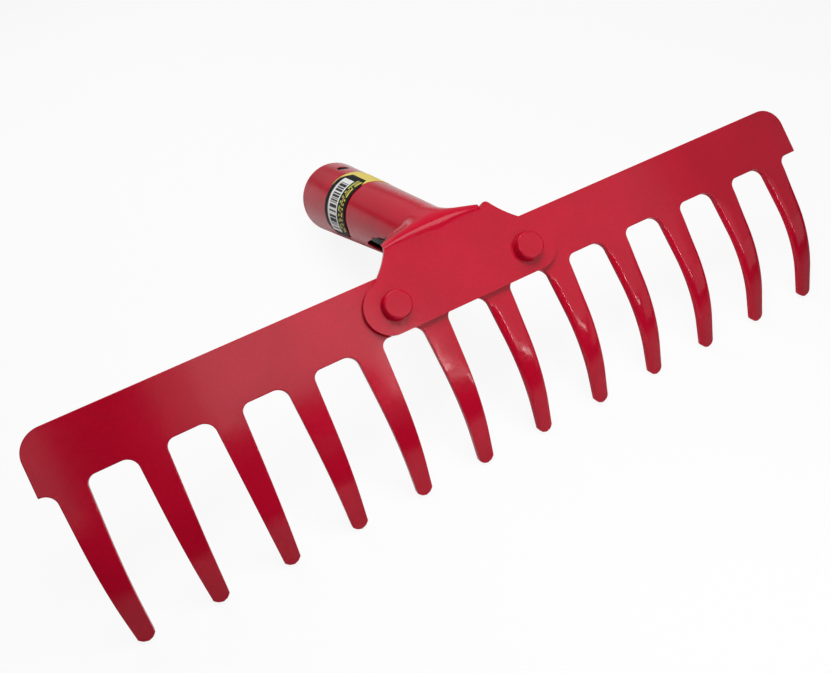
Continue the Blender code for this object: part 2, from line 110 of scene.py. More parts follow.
class Nodes:
    """Short way to add and join the nodes of one material or world."""

    def __init__(self, owner: bpy.types.ID) -> None:
        """Start with no nodes.

        Args:
            owner: The material or world that holds the nodes.
        """
        owner.use_nodes = True
        self.owner = owner
        self.tree = owner.node_tree
        self.tree.nodes.clear()

    def add(self, kind: str, **settings: object) -> bpy.types.Node:
        """Add a node.

        Args:
            kind: Blender's name for the node type.
            settings: Attributes of the node, or default values of its inputs where it has no such attribute.

        Returns:
            The new node.
        """
        node = self.tree.nodes.new(kind)
        for key, value in settings.items():
            if hasattr(node, key):
                setattr(node, key, value)
            else:
                node.inputs[key.replace("_", " ")].default_value = value
        return node

    def join(self, source: Socket, target: Socket) -> None:
        """Link two sockets."""
        self.tree.links.new(source, target)

    def feed(self, slot: Socket, value: object) -> None:
        """Give an input a link or a value of its own.

        Args:
            slot: The input.
            value: Socket to link, or a number, vector or colour to set.
        """
        if isinstance(value, Socket):
            self.join(value, slot)
        else:
            slot.default_value = value

    def math(self, operation: str, first: object, second: object) -> Socket:
        """Add a Math node.

        Args:
            operation: Blender's name for the operation.
            first: Socket or number for the first input.
            second: Socket or number for the second input.

        Returns:
            The node's output socket.
        """
        node = self.add("ShaderNodeMath", operation=operation)
        self.feed(node.inputs[0], first)
        self.feed(node.inputs[1], second)
        return node.outputs[0]

    def vector(self, operation: str, first: object, second: object) -> bpy.types.Node:
        """Add a Vector Math node.

        Args:
            operation: Blender's name for the operation.
            first: Socket or vector for the first input.
            second: Socket or vector for the second input.

        Returns:
            The node. Its output 0 is a vector and its output 1 a value.
        """
        node = self.add("ShaderNodeVectorMath", operation=operation)
        self.feed(node.inputs[0], first)
        self.feed(node.inputs[1], second)
        return node

    def distance(self, first: object, second: object) -> Socket:
        """Return a socket with the distance between two places."""
        return self.vector("DISTANCE", first, second).outputs[1]

    def noise(self, place: Socket, size: float, detail: float = 2.0) -> Socket:
        """Add a noise whose features are about as large as asked.

        Args:
            place: Socket with coordinates in metres.
            size: Size of a feature in metres.
            detail: Number of finer layers.

        Returns:
            Socket with the noise from 0 to 1.
        """
        node = self.add("ShaderNodeTexNoise", Scale=1.0 / size, Detail=detail, Roughness=0.5)
        self.join(place, node.inputs["Vector"])
        return node.outputs["Fac"]

    def spread(self, source: Socket, low: float, high: float, first: float = 0.3, last: float = 0.7) -> Socket:
        """Map a range of a value, such as the middle of a noise, to another range.

        Args:
            source: Socket with the value.
            low: Result at the range's start.
            high: Result at the range's end.
            first: Start of the range.
            last: End of the range.

        Returns:
            Socket with the mapped value.
        """
        node = self.add("ShaderNodeMapRange", From_Min=first, From_Max=last, To_Min=low, To_Max=high)
        self.join(source, node.inputs["Value"])
        return node.outputs["Result"]

    def blend(self, share: Socket, first: object, second: object) -> Socket:
        """Mix two colours.

        Args:
            share: Socket with the share of the second colour.
            first: Colour or socket at share 0.
            second: Colour or socket at share 1.

        Returns:
            Socket with the mixed colour.
        """
        node = self.add("ShaderNodeMix", data_type="RGBA")
        self.join(share, node.inputs["Factor"])
        for slot, value in zip((node.inputs[6], node.inputs[7]), (first, second)):
            self.feed(slot, value if isinstance(value, Socket) else (*value, 1.0))
        return node.outputs[2]

    def shade(self, colour: Socket, **values: float) -> bpy.types.Node:
        """Add the surface shader and the output.

        Args:
            colour: Socket with the base colour.
            values: Values of the shader's own sockets, with underscores for spaces.

        Returns:
            The shader node.
        """
        shader = self.add("ShaderNodeBsdfPrincipled", **values)
        self.join(colour, shader.inputs["Base Color"])
        self.join(shader.outputs[0], self.add("ShaderNodeOutputMaterial").inputs["Surface"])
        return shader

    def bump(self, shader: bpy.types.Node, height: Socket, distance: float, strength: float = 1.0) -> None:
        """Raise and sink a shader's surface a little.

        Args:
            shader: The surface shader.
            height: Socket with the height, where 1 stands for the distance.
            distance: Distance in metres.
            strength: Share of the effect.
        """
        node = self.add("ShaderNodeBump", Strength=strength, Distance=distance)
        self.join(height, node.inputs["Height"])
        self.join(node.outputs[0], shader.inputs["Normal"])


@dataclass(frozen=True)
class PaintedBoreShade:
    """Painted shade for the inside of the socket: a near-black colour on the enamel inside the wall, on the inner
    half of the window's edge and in the screw hole, where shade falls.
    """

    start: Vector
    axis: Vector
    radius: float
    taper: float
    hole: Vector
    hole_reach: float
    begins: float = 12.0 * MM
    window: Pair = (60.0 * MM, 66.0 * MM)
    limits: Pair = (0.35 * MM, -0.90 * MM)
    # Near-black colour of the painted shade inside the socket and in the hole.
    colour: Colour = (0.012, 0.011, 0.011)

    def mask(self, nodes: Nodes, place: Socket) -> Socket:
        """Find where the near-black shade is painted: inside the wall, on the inner half of the window's edge and in
        the hole.

        Args:
            nodes: The material.
            place: Socket with the place on the piece.

        Returns:
            Socket that is 1 where the shade is painted and 0 on the plain enamel.
        """
        offset = nodes.vector("SUBTRACT", place, self.start).outputs[0]
        along = nodes.vector("DOT_PRODUCT", offset, self.axis).outputs[1]
        foot = nodes.add("ShaderNodeVectorMath", operation="SCALE")
        nodes.feed(foot.inputs[0], self.axis)
        nodes.feed(foot.inputs["Scale"], along)
        wall = nodes.math("ADD", nodes.math("MULTIPLY", along, self.taper), self.radius)
        limit = nodes.math("ADD", wall, nodes.spread(along, *self.limits, *self.window))
        within = nodes.math("LESS_THAN", nodes.distance(offset, foot.outputs[0]), limit)
        inside = nodes.math("MULTIPLY", within, nodes.math("GREATER_THAN", along, self.begins))
        in_hole = nodes.math("LESS_THAN", nodes.distance(place, self.hole), self.hole_reach)
        return nodes.math("MAXIMUM", inside, in_hole)


@dataclass(frozen=True)
class Enamel:
    """Stoved red enamel over steel: a little deeper and lighter in patches, with a fine orange peel."""

    name: str
    deep: Colour = (0.43, 0.0024, 0.019)
    bright: Colour = (0.55, 0.0036, 0.026)
    gloss: float = 0.22
    roughness: Pair = (0.09, 0.17)
    patch_size: float = 22.0 * MM
    speck_size: float = 1.0 * MM
    peel_size: float = 1.4 * MM
    peel_height: float = 0.012 * MM
    sag_size: float = 14.0 * MM
    sag_height: float = 0.03 * MM
    # Painted shade inside the socket, where the enamel is darkened to near black.
    painted_bore_shade: PaintedBoreShade | None = None

    def material(self) -> bpy.types.Material:
        """Mix the enamel.

        Returns:
            The enamel as a node material.
        """
        nodes = Nodes(bpy.data.materials.new(self.name))
        place = nodes.add("ShaderNodeTexCoord").outputs["Object"]
        patches = nodes.spread(nodes.noise(place, self.patch_size), 0.0, 0.5)
        specks = nodes.spread(nodes.noise(place, self.speck_size), 0.0, 0.5)
        colour = nodes.blend(nodes.math("ADD", patches, specks), self.deep, self.bright)
        # Paint near-black shade on the inside of the socket, the inner half of the window's edge and the screw hole.
        if self.painted_bore_shade is not None:
            colour = nodes.blend(self.painted_bore_shade.mask(nodes, place), colour, self.painted_bore_shade.colour)
        shader = nodes.shade(colour, Specular_IOR_Level=self.gloss)
        grain = nodes.noise(place, self.peel_size, 1.0)
        nodes.join(nodes.spread(grain, *self.roughness), shader.inputs["Roughness"])
        sag = nodes.math("MULTIPLY", nodes.noise(place, self.sag_size, 1.0), self.sag_height / self.peel_height)
        nodes.bump(shader, nodes.math("ADD", grain, sag), self.peel_height)
        return nodes.owner


@dataclass(frozen=True)
class EdgeFinish:
    """Sheet thickness and the rounding that the paint leaves on its cut edges."""

    thickness: float
    rounding: float
    segments: int = 3
    offset: float = 0.0
    group: str = ""

    def apply(self, piece: Piece) -> None:
        """Thicken a surface, evenly to both sides unless an offset is given, and round its edges.

        Args:
            piece: The piece, still a surface.
        """
        solidify = piece.modifiers.new("thickness", "SOLIDIFY")
        solidify.thickness = self.thickness
        solidify.offset = self.offset
        solidify.vertex_group = self.group
        solidify.use_even_offset = True
        solidify.use_quality_normals = True
        if self.rounding > 0.0:
            round_edges(piece, self.rounding, self.segments)


def round_edges(piece: Piece, width: float, segments: int) -> None:
    """Round a piece's sharp edges.

    Args:
        piece: The piece.
        width: Width of the rounding.
        segments: Number of faces across the rounding.
    """
    bevel = piece.modifiers.new("rounded_edges", "BEVEL")
    bevel.width = width
    bevel.segments = segments
    bevel.limit_method = "ANGLE"
    bevel.angle_limit = SHARP_ANGLE
    bevel.harden_normals = True


def apply_modifiers(piece: Piece) -> None:
    """Make what a piece's modifiers give its own mesh.

    Args:
        piece: The piece.
    """
    graph = bpy.context.evaluated_depsgraph_get()
    shaped = piece.evaluated_get(graph)
    mesh = bpy.data.meshes.new_from_object(shaped, preserve_all_data_layers=True, depsgraph=graph)
    piece.modifiers.clear()
    piece.data = mesh


def smooth_step(value: float, low: float, high: float) -> float:
    """Return an ease from 0 at a low value to 1 at a high value."""
    share = min(max((value - low) / (high - low), 0.0), 1.0)
    return share * share * (3.0 - 2.0 * share)


def quadratic(start: Vector, control: Vector, end: Vector, share: float) -> Vector:
    """Return a point of a quadratic Bezier curve."""
    rest = 1.0 - share
    return rest * rest * start + 2.0 * rest * share * control + share * share * end


def make_piece(bm: Shape, name: str, material: bpy.types.Material) -> Piece:
    """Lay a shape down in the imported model's frame and make it a smooth piece.

    Args:
        bm: The shape in the plate frame. It is freed.
        name: Name of the piece.
        material: Its finish.

    Returns:
        The new object, at the origin.
    """
    bmesh.ops.transform(bm, matrix=PLATE.matrix(), verts=bm.verts[:])
    mesh = bpy.data.meshes.new(name)
    bm.to_mesh(mesh)
    bm.free()
    mesh.materials.append(material)
    mesh.shade_smooth()
    mesh.set_sharp_from_angle(angle=SHARP_ANGLE)
    piece = bpy.data.objects.new(name, mesh)
    bpy.context.scene.collection.objects.link(piece)
    return piece


def settle(piece: Piece, slot: str, *nodes: str) -> Piece:
    """Hang a piece on the model in place of its CAD nodes.

    Args:
        piece: The finished piece.
        slot: Material slot of the record; not used.
        nodes: CAD nodes that it stands for.

    Returns:
        The piece.
    """
    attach(piece, "root")
    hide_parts(*nodes)
    return piece


@dataclass
class ToothedComb:
    """The stamped comb: a flat bar with tapered teeth that curve backwards."""

    tooth_count: int = 12
    pitch: float = 30.0 * MM
    bar_height: float = 23.8 * MM
    end_left: float = 11.1 * MM
    end_right: float = 15.0 * MM
    corner_radius: float = 10.0 * MM
    corner_steps: int = 16
    root_fillets: Pair = (4.8 * MM, 3.4 * MM)
    root_steps: int = 10
    root_width: float = 11.8 * MM
    tip_width: float = 6.6 * MM
    tooth_length: float = 68.6 * MM
    bend_radius: float = 64.0 * MM
    bend_angle: float = math.radians(31.1)
    bend_steps: int = 18
    point_depth: float = 2.6 * MM
    point_power: float = 2.0
    columns: tuple[float, ...] = (-1.0, -0.86, -0.72, -0.5, 0.0, 0.5, 0.72, 0.86, 1.0)
    rows: tuple[float, ...] = (5.0 * MM, 6.2 * MM, 7.8 * MM, 10.0 * MM, 14.0 * MM, 20.0 * MM)
    roll_depths: Pair = (0.42, 0.20)
    roll_ends: Pair = (9.5 * MM, 20.0 * MM)
    roll_growth: Pair = (-24.0 * MM, 12.0 * MM)
    roll_power: float = 2.2
    roll_start: float = 0.5
    point_roll: float = 0.7
    flat_angle: float = math.radians(1.0)
    sheet: EdgeFinish = EdgeFinish(3.0 * MM, 0.8 * MM, offset=-1.0, group="front_roll")
    finish: Enamel = Enamel("comb_enamel")

    def centres(self) -> list[float]:
        """Return the place of each tooth along the bar."""
        first = -(self.tooth_count - 1) / 2 * self.pitch
        return [first + number * self.pitch for number in range(self.tooth_count)]

    def half_width(self, distance: float) -> float:
        """Return half a tooth's width at a distance from the root line."""
        share = distance / self.tooth_length
        return (self.root_width + (self.tip_width - self.root_width) * share) / 2

    def narrow(self, bm: Shape, verts: Iterable[Vert], start: float, end: float) -> None:
        """Draw the ends of all teeth in from their width at one distance to that at another.

        Args:
            bm: The comb.
            verts: The newest row of points of all teeth.
            start: Distance whose width they have.
            end: Distance whose width they get.
        """
        share = self.half_width(end) / self.half_width(start)
        for centre in self.centres():
            own = [vert for vert in verts if abs(vert.co.x - centre) < self.pitch / 2]
            about = Matrix.Translation((-centre, 0.0, 0.0))
            bmesh.ops.scale(bm, vec=(share, 1.0, 1.0), space=about, verts=own)

    def bar_blank(self, bm: Shape) -> None:
        """Cut the bar as a row of cells, one for each tooth and each space beside it.

        Args:
            bm: The comb, still empty.
        """
        centres = self.centres()
        half = self.half_width(0.0)
        places = [centres[0] - self.end_left]
        for centre in centres:
            places += [centre - half, centre + half]
        places.append(centres[-1] + self.end_right)
        cells = len(places) - 1
        bmesh.ops.create_grid(bm, x_segments=cells, y_segments=1, size=0.5)
        for vert in bm.verts:
            column = round((vert.co.x + 0.5) * cells)
            vert.co = Vector((places[column], 0.0, self.bar_height if vert.co.y > 0.0 else 0.0))

    def tooth_ends(self, bm: Shape, height: float) -> list[Edge]:
        """Find the lower edges of the teeth.

        Args:
            bm: The comb.
            height: Height of the edges across the bar.

        Returns:
            One edge for each tooth.
        """
        found = []
        for edge in bm.edges:
            middle = (edge.verts[0].co + edge.verts[1].co) / 2
            level = all(abs(vert.co.z - height) < NEAR for vert in edge.verts)
            if level and any(abs(middle.x - centre) < NEAR for centre in self.centres()):
                found.append(edge)
        return found

    def extrude(self, bm: Shape, edges: list[Edge]) -> tuple[list[Vert], list[Edge]]:
        """Extrude the ends of the teeth.

        Args:
            bm: The comb.
            edges: The lower edges of all teeth.

        Returns:
            The new points and the new lower edges.
        """
        made = bmesh.ops.extrude_edge_only(bm, edges=edges)["geom"]
        verts = [item for item in made if isinstance(item, Vert)]
        new = set(verts)
        return verts, [item for item in made if isinstance(item, Edge) and set(item.verts) <= new]

    def round_points(self, bm: Shape, height: float, places: Sequence[float], radius: float, steps: int) -> None:
        """Round some corners of the flat outline.

        Args:
            bm: The comb.
            height: Height of the corners across the bar.
            places: Their places along it.
            radius: Radius of the rounding.
            steps: Number of edges in it.
        """
        level = [vert for vert in bm.verts if abs(vert.co.z - height) < NEAR]
        corners = [vert for vert in level if min(abs(vert.co.x - place) for place in places) < NEAR]
        bmesh.ops.bevel(
            bm, geom=corners, offset=radius, offset_type="OFFSET", segments=steps, profile=0.5,
            affect="VERTICES", material=-1, clamp_overlap=True,
        )

    def round_corners(self, bm: Shape) -> None:
        """Round the bar's upper corners and the roots of the gaps in the flat blank.

        Args:
            bm: The comb, as a flat bar with the stubs of its teeth.
        """
        centres = self.centres()
        ends = (centres[0] - self.end_left, centres[-1] + self.end_right)
        self.round_points(bm, self.bar_height, ends, self.corner_radius, self.corner_steps)
        for side, radius in zip(Side, self.root_fillets):
            roots = [centre + side.value * self.half_width(0.0) for centre in centres]
            self.round_points(bm, 0.0, roots, radius, self.root_steps)

    def split_columns(self, bm: Shape) -> list[Edge]:
        """Split the lower end of each tooth into columns, closer together near its sides.

        Args:
            bm: The comb.

        Returns:
            The lower edges of all teeth.
        """
        start = self.rows[0]
        bmesh.ops.subdivide_edges(bm, edges=self.tooth_ends(bm, -start), cuts=len(self.columns) - 2)
        across = bm.verts.layers.float.new("across")
        ends = [vert for vert in bm.verts if abs(vert.co.z + start) < NEAR]
        for centre in self.centres():
            row = [vert for vert in ends if abs(vert.co.x - centre) < self.pitch / 2]
            for vert, share in zip(sorted(row, key=lambda vert: vert.co.x), self.columns):
                vert.co.x = centre + share * self.half_width(start)
                vert[across] = share
        return [edge for edge in bm.edges if all(abs(vert.co.z + start) < NEAR for vert in edge.verts)]

    def draw_teeth(self, bm: Shape) -> None:
        """Draw all teeth out of the bar: straight, round their bend, then straight to their points.

        Args:
            bm: The comb, with the stubs of its teeth.
        """
        edges = self.split_columns(bm)
        for distance, following in zip(self.rows, self.rows[1:]):
            verts, edges = self.extrude(bm, edges)
            bmesh.ops.translate(bm, vec=(0.0, 0.0, distance - following), verts=verts)
            self.narrow(bm, verts, distance, following)
        distance = self.rows[-1]
        centre = Vector((0.0, self.bend_radius, -distance))
        step = self.bend_angle / self.bend_steps
        for _ in range(self.bend_steps):
            verts, edges = self.extrude(bm, edges)
            bmesh.ops.rotate(bm, cent=centre, matrix=Matrix.Rotation(step, 3, "X"), verts=verts)
            self.narrow(bm, verts, distance, distance + self.bend_radius * step)
            distance += self.bend_radius * step
        onwards = Vector((0.0, math.sin(self.bend_angle), -math.cos(self.bend_angle)))
        shoulder = self.tooth_length - self.point_depth
        for following in (shoulder - self.point_depth, shoulder):
            verts, edges = self.extrude(bm, edges)
            bmesh.ops.translate(bm, vec=onwards * (following - distance), verts=verts)
            self.narrow(bm, verts, distance, following)
            distance = following
        across = bm.verts.layers.float["across"]
        for vert in verts:
            vert.co += onwards * self.point_depth * (1.0 - abs(vert[across]) ** self.point_power)
        self.roll_sides(bm, set(verts))

    def roll_sides(self, bm: Shape, points: set[Vert]) -> None:
        """Give the teeth rolled sides on their front, as blanking leaves them.

        Args:
            bm: The comb.
            points: The last row of points of all teeth.
        """
        across = bm.verts.layers.float["across"]
        group = bm.verts.layers.deform.verify()
        for vert in bm.verts:
            number = 0 if vert[across] < 0.0 else 1
            side = max(abs(vert[across]) - self.roll_start, 0.0) / (1.0 - self.roll_start)
            share = max(side**self.roll_power, self.point_roll if vert in points else 0.0)
            share *= smooth_step(-vert.co.z, self.rows[0], self.roll_ends[number])
            share *= smooth_step(vert.co.x, *self.roll_growth)
            vert[group][0] = 1.0 - self.roll_depths[number] * share
        bm.verts.layers.float.remove(across)

    def lay_back(self, bm: Shape) -> None:
        """Move the middle surface to the back of the sheet, facing backwards.

        Args:
            bm: The comb.
        """
        if sum(face.normal.y * face.calc_area() for face in bm.faces) < 0.0:
            bmesh.ops.reverse_faces(bm, faces=bm.faces[:])
        bm.normal_update()
        for vert in bm.verts:
            vert.co += vert.normal * self.sheet.thickness / 2

    def build(self) -> Piece:
        """Stamp and bend the comb.

        Returns:
            The finished comb.
        """
        bm = bmesh.new()
        self.bar_blank(bm)
        verts, _ = self.extrude(bm, self.tooth_ends(bm, 0.0))
        bmesh.ops.translate(bm, vec=(0.0, 0.0, -self.rows[0]), verts=verts)
        self.narrow(bm, verts, 0.0, self.rows[0])
        bmesh.ops.dissolve_limit(bm, angle_limit=self.flat_angle, verts=bm.verts[:], edges=bm.edges[:])
        self.round_corners(bm)
        self.draw_teeth(bm)
        bmesh.ops.recalc_face_normals(bm, faces=bm.faces[:])
        bmesh.ops.translate(bm, vec=(0.0, self.sheet.thickness / 2, 0.0), verts=bm.verts[:])
        self.lay_back(bm)
        comb = make_piece(bm, "stamped_comb", self.finish.material())
        comb.vertex_groups.new(name=self.sheet.group)
        self.sheet.apply(comb)
        return settle(comb, "comb_paint", "toothed_head")


@dataclass
class SocketBracket:
    """The bracket: a flat flange, a bend, an open neck and a rolled, tapered socket, all of one sheet."""

    x: float = 3.3 * MM
    seat_gap: float = 0.3 * MM
    rivet_spacing: float = 62.2 * MM
    rivet_height: float = 10.4 * MM
    ear_radius: float = 11.1 * MM
    ear_shift: float = 2.4 * MM
    ear_join: float = math.radians(72.0)
    shoulder: Pair = (21.8 * MM, 32.6 * MM)
    shoulder_radius: float = 2.2 * MM
    shoulder_arc: Pair = (math.radians(165.0), math.radians(35.0))
    arc_steps: int = 32
    side_hollow: float = 0.9 * MM
    side_steps: int = 8
    neck_reach: Pair = (26.0 * MM, 19.2 * MM)
    bend_corner: float = 36.6 * MM
    corner_drop: float = 2.8 * MM
    bend_legs: Pair = (5.0 * MM, 1.4 * MM)
    valley: Pair = (16.0 * MM, 30.0 * MM)
    valley_angles: Pair = (math.radians(45.0), math.radians(80.0))
    valley_power: float = 1.5
    valley_ease: float = 4.0 * MM
    neck_end: float = 46.0 * MM
    neck_half_angle: float = math.radians(90.0)
    window_end: float = 58.0 * MM
    window_angles: Pair = (math.radians(112.0), math.radians(132.0))
    wing_start: float = 40.0 * MM
    lean: float = math.radians(64.6)
    length: float = 141.0 * MM
    neck_diameter: float = 25.8 * MM
    mouth_diameter: float = 38.6 * MM
    seam_gap: float = 1.4 * MM
    hole_diameter: float = 6.5 * MM
    hole_distance: float = 122.0 * MM
    hole_angle: float = math.radians(12.0)
    # How far the painted shade reaches past the screw hole's edge.
    hole_shade_rim: float = 0.25 * MM
    hole_steps: int = 48
    neck_columns: int = 64
    wing_columns: int = 56
    bend_rows: int = 12
    flare_rows: int = 12
    neck_rows: int = 12
    wrap_rows: int = 40
    sheet: EdgeFinish = EdgeFinish(2.5 * MM, 0.55 * MM)
    finish: Enamel = Enamel("bracket_enamel")

    @property
    def middle_y(self) -> float:
        """Y of the middle of the flange's sheet."""
        return -self.seat_gap - self.sheet.thickness / 2

    @property
    def axis(self) -> Vector:
        """Direction of the socket, from the bend to the mouth."""
        return Vector((0.0, math.sin(self.lean), math.cos(self.lean)))

    @property
    def top(self) -> Vector:
        """Direction from the socket's axis to the top line of its wall."""
        return Vector((0.0, -math.cos(self.lean), math.sin(self.lean)))

    def radius(self, distance: float) -> float:
        """Return the radius of the middle of the socket's wall at a distance from the bend."""
        taper = (self.mouth_diameter - self.neck_diameter) / 2 / self.length
        return self.neck_diameter / 2 + taper * distance - self.sheet.thickness / 2

    def centre(self, distance: float) -> Vector:
        """Return the point on the socket's axis at a distance from the bend."""
        corner = Vector((self.x, self.middle_y, self.bend_corner))
        return corner - self.top * self.radius(0.0) + self.axis * distance

    def outwards(self, angle: float) -> Vector:
        """Return the direction from the socket's axis at an angle, 0 on the top line."""
        return math.cos(angle) * self.top + math.sin(angle) * X_AXIS

    def wall(self, angle: float, distance: float, lift: float = 0.0) -> Vector:
        """Return the point at an angle and a distance along the rolled wall, lifted off its middle."""
        return self.centre(distance) + (self.radius(distance) + lift) * self.outwards(angle)

    def wrap_front(self, angle: float) -> float:
        """Find where the wrap starts: back from the neck round the window, then forward again.

        Args:
            angle: Angle about the axis, 0 on the top line.

        Returns:
            Distance along the axis from the bend.
        """
        back = smooth_step(abs(angle), self.neck_half_angle, self.window_angles[0])
        forward = smooth_step(abs(angle), *self.window_angles)
        behind_neck = self.neck_end + (self.window_end - self.neck_end) * back
        return behind_neck - (self.window_end - self.wing_start) * forward

    def neck_point(self, across: float, row: float) -> Vector:
        """Place a point of the sheet round the bend, up the flare to the valley and along the neck.

        Args:
            across: Place across the sheet, from -1 at one side of the neck to 1 at the other.
            row: Row of the sheet, from 0 at the flat.

        Returns:
            The point in the plate frame.
        """
        reach = self.neck_reach[0] if across < 0.0 else self.neck_reach[1]
        drop = self.corner_drop * across * across
        corner = Vector((self.x + reach * across, self.middle_y, self.bend_corner - drop))
        angle = self.valley_angles[1] * across
        back = max(abs(angle) - self.valley_angles[0], 0.0) / (self.valley_angles[1] - self.valley_angles[0])
        distance = self.valley[0] + (self.valley[1] - self.valley[0]) * back**self.valley_power
        foot = self.wall(angle, distance)
        leg = self.bend_legs[0] + (self.bend_legs[1] - self.bend_legs[0]) * abs(across)
        end = corner + (foot - corner).normalized() * leg
        if row <= self.bend_rows:
            return quadratic(corner - Vector((0.0, 0.0, leg)), corner, end, row / self.bend_rows)
        row -= self.bend_rows
        if row <= self.flare_rows:
            return quadratic(end, foot - self.axis * self.valley_ease, foot, row / self.flare_rows)
        share = (row - self.flare_rows) / self.neck_rows
        turned = angle + (self.neck_half_angle * across - angle) * share
        return self.wall(turned, distance + (self.neck_end - distance) * share)

    def form(self, bm: Shape, columns: int, rows: int, shape: Callable[[float, float], Vector]) -> None:
        """Lay a flat sheet and form it.

        Args:
            bm: Where the sheet is added.
            columns: Number of faces across.
            rows: Number of faces along.
            shape: Gives a point's place from its share across and along the sheet.
        """
        made = bmesh.ops.create_grid(bm, x_segments=columns, y_segments=rows, size=0.5)["verts"]
        for vert in made:
            across = round((vert.co.x + 0.5) * columns) / columns
            vert.co = shape(across, round((vert.co.y + 0.5) * rows) / rows)

    def neck_shape(self, across: float, along: float) -> Vector:
        """Return a point of the neck from its shares across and along the sheet."""
        return self.neck_point(2.0 * across - 1.0, along * (self.bend_rows + self.flare_rows + self.neck_rows))

    def wrap_shape(self, across: float, along: float) -> Vector:
        """Place a point of the full wrap.

        Args:
            across: Share from one side of the seam round to the other.
            along: Share from the front of the wrap to the mouth.

        Returns:
            The point in the plate frame.
        """
        columns = self.neck_columns + 2 * self.wing_columns
        column = across * columns - columns / 2
        last = math.pi - self.seam_gap / 2 / self.radius(self.window_end + (self.length - self.window_end) * along)
        half = self.neck_columns / 2
        if abs(column) <= half:
            angle = self.neck_half_angle * column / half
        else:
            share = (abs(column) - half) / self.wing_columns
            angle = math.copysign(self.neck_half_angle + (last - self.neck_half_angle) * share, column)
        front = self.wrap_front(angle)
        return self.wall(angle, front + (self.length - front) * along)

    def spin_arc(self, bm: Shape, side: Side, centre: Pair, radius: float, start: float, end: float) -> list[Vert]:
        """Spin a point of the flange's outline about a centre.

        Args:
            bm: Where the outline is added.
            side: Side of the flange.
            centre: Place outwards from the bracket's middle and height of the centre.
            radius: Radius of the arc.
            start: Angle of the first point over the outward direction.
            end: Angle of the last point.

        Returns:
            The first and the last point.
        """
        about = Vector((self.x + side.value * centre[0], self.middle_y, centre[1]))
        reach = Vector((side.value * math.cos(start), 0.0, math.sin(start))) * radius
        first = bmesh.ops.create_vert(bm, co=about + reach)["vert"][0]
        turn = side.value * (start - end)
        spun = bmesh.ops.spin(bm, geom=[first], cent=about, axis=Y_AXIS, angle=turn, steps=self.arc_steps)
        return [first, [item for item in spun["geom_last"] if isinstance(item, Vert)][0]]

    def hollow_side(self, bm: Shape, upper: Vert, lower: Vert) -> None:
        """Join two points of the outline by a side that is drawn in a little towards the bracket's middle.

        Args:
            bm: The bracket.
            upper: Upper point of the side.
            lower: Lower point of the side.
        """
        first, last = upper.co.copy(), lower.co.copy()
        inwards = (last - first).normalized().cross(Y_AXIS)
        if inwards.x * (first.x - self.x) > 0.0:
            inwards.negate()
        control = (first + last) / 2 + inwards * 2 * self.side_hollow
        vert = upper
        for step in range(1, self.side_steps):
            vert = bmesh.ops.extrude_vert_indiv(bm, verts=[vert])["verts"][0]
            vert.co = quadratic(first, control, last, step / self.side_steps)
        bmesh.ops.contextual_create(bm, geom=[vert, lower])

    def add_flange(self, bm: Shape) -> None:
        """Spin the ears and the shoulder, join them to the ends of the bend and fill the flat between them.

        Args:
            bm: The bracket, as its neck.
        """
        flat = [vert for vert in bm.verts if abs(vert.co.y - self.middle_y) < NEAR]
        ear = (self.rivet_spacing / 2 + self.ear_shift, self.rivet_height)
        bottoms = []
        for side in Side:
            corner = max(flat, key=lambda vert: side.value * vert.co.x)
            if side is Side.RIGHT:
                first, last = self.spin_arc(bm, side, self.shoulder, self.shoulder_radius, *self.shoulder_arc)
                bmesh.ops.contextual_create(bm, geom=[corner, first])
                corner = last
            join, bottom = self.spin_arc(bm, side, ear, self.ear_radius, self.ear_join, -math.pi / 2)
            self.hollow_side(bm, corner, join)
            bottoms.append(bottom)
        bmesh.ops.contextual_create(bm, geom=bottoms)
        rim = [edge for edge in bm.edges if all(abs(vert.co.y - self.middle_y) < NEAR for vert in edge.verts)]
        bmesh.ops.edgeloop_fill(bm, edges=rim)

    def cut_screw_hole(self, bracket: Piece) -> None:
        """Drill the fixing hole through the top of the socket.

        Args:
            bracket: The bracket, with its thickness.
        """
        turn = Z_AXIS.rotation_difference(self.outwards(self.hole_angle)).to_matrix().to_4x4()
        place = Matrix.Translation(self.wall(self.hole_angle, self.hole_distance))
        radius = self.hole_diameter / 2
        bm = bmesh.new()
        bmesh.ops.create_cone(
            bm, cap_ends=True, segments=self.hole_steps, radius1=radius, radius2=radius, depth=self.mouth_diameter / 2
        )
        bmesh.ops.transform(bm, matrix=place @ turn, verts=bm.verts[:])
        drill = make_piece(bm, "drill", bracket.data.materials[0])
        cut = bracket.modifiers.new("screw_hole", "BOOLEAN")
        cut.operation = "DIFFERENCE"
        cut.solver = "EXACT"
        cut.object = drill
        apply_modifiers(bracket)
        bpy.data.objects.remove(drill)

    def painted_bore_shade(self) -> PaintedBoreShade:
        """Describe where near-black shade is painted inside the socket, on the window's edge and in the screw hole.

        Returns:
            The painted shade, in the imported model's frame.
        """
        place = PLATE.matrix()
        return PaintedBoreShade(
            start=place @ self.centre(0.0),
            axis=place.to_3x3() @ self.axis,
            radius=self.radius(0.0),
            taper=self.radius(1.0) - self.radius(0.0),
            hole=place @ self.wall(self.hole_angle, self.hole_distance),
            hole_reach=self.hole_diameter / 2 + self.hole_shade_rim,
        )

    def build(self) -> Piece:
        """Cut, fold and roll the bracket.

        Returns:
            The finished bracket.
        """
        bm = bmesh.new()
        self.form(bm, self.neck_columns, self.bend_rows + self.flare_rows + self.neck_rows, self.neck_shape)
        self.add_flange(bm)
        self.form(bm, self.neck_columns + 2 * self.wing_columns, self.wrap_rows, self.wrap_shape)
        bmesh.ops.remove_doubles(bm, verts=bm.verts[:], dist=WELD)
        bmesh.ops.recalc_face_normals(bm, faces=bm.faces[:])
        # The bracket's enamel carries the painted near-black shade inside the socket.
        bracket = make_piece(bm, "folded_bracket", replace(self.finish, painted_bore_shade=self.painted_bore_shade()).material())
        self.sheet.apply(bracket)
        self.cut_screw_hole(bracket)
        return settle(bracket, "bracket_paint", "socket_bracket")


